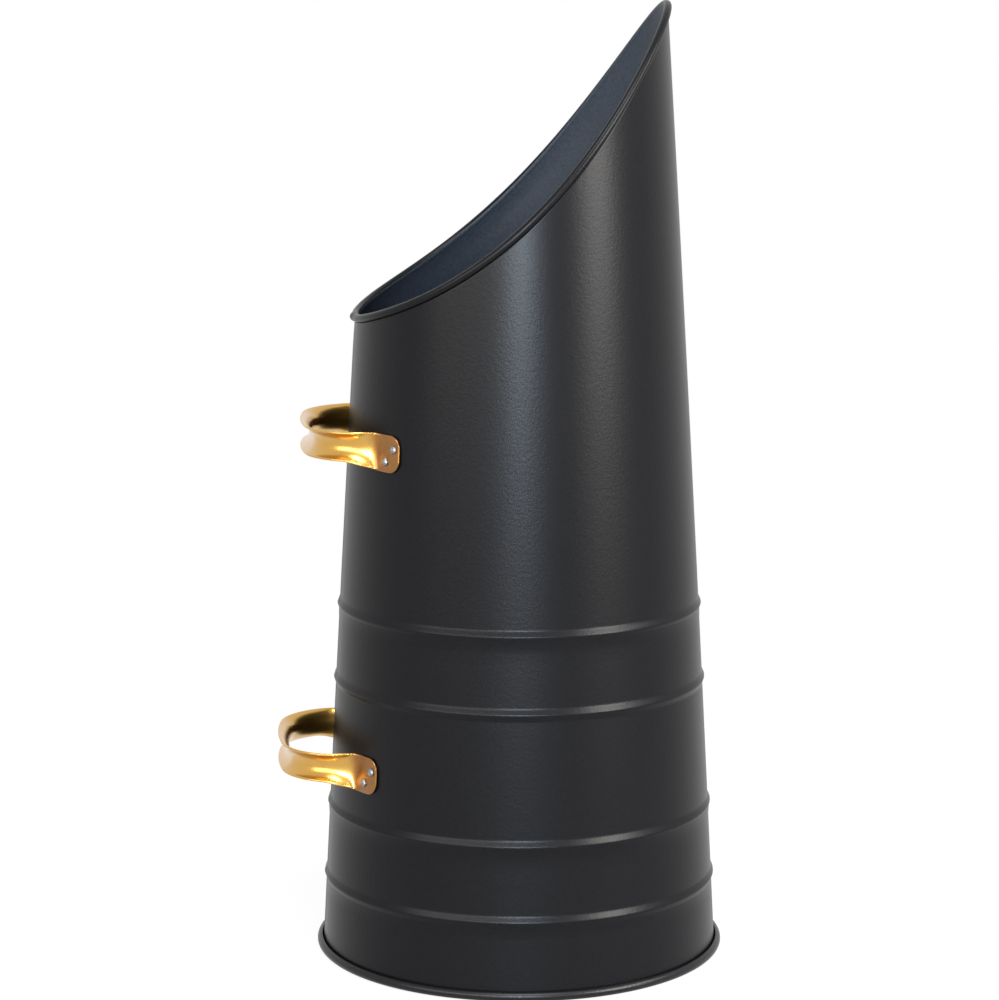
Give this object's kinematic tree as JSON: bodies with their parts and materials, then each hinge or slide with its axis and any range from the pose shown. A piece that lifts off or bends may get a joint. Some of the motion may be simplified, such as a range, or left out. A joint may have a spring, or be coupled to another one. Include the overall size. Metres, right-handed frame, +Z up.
{
  "type": "coal scuttle",
  "caption": "Tall round coal hod with a scooped mouth, a wired rim, swaged beads and riveted brass strap handles on the low side.",
  "frame": {"origin": "under the middle of the overall footprint, on the plane that the base ring stands on", "axes": "+Z up; +X from the handles to the high spout tip; +Y to the left of someone behind the handles facing the spout"},
  "size_m": [0.2294, 0.21, 0.4852],
  "materials": {
    "black_coat": "satin black coating with a fine orange-peel grain, baked on thin sheet steel",
    "wire_steel": "plain drawn wire, hidden in the rolled edge",
    "brass_strap": "polished and lacquered brass strap",
    "rivet_metal": "dull hammered domes"
  },
  "bodies": {
    "root": {"body_sheet": "black_coat", "base_pan": "black_coat", "mouth_wire": "wire_steel", "upper_handle": "brass_strap", "lower_handle": "brass_strap", "upper_near_rivet_1": "rivet_metal", "upper_near_rivet_2": "rivet_metal", "upper_far_rivet_1": "rivet_metal", "upper_far_rivet_2": "rivet_metal", "lower_near_rivet_1": "rivet_metal", "lower_near_rivet_2": "rivet_metal", "lower_far_rivet_1": "rivet_metal", "lower_far_rivet_2": "rivet_metal"}
  },
  "joints": []
}
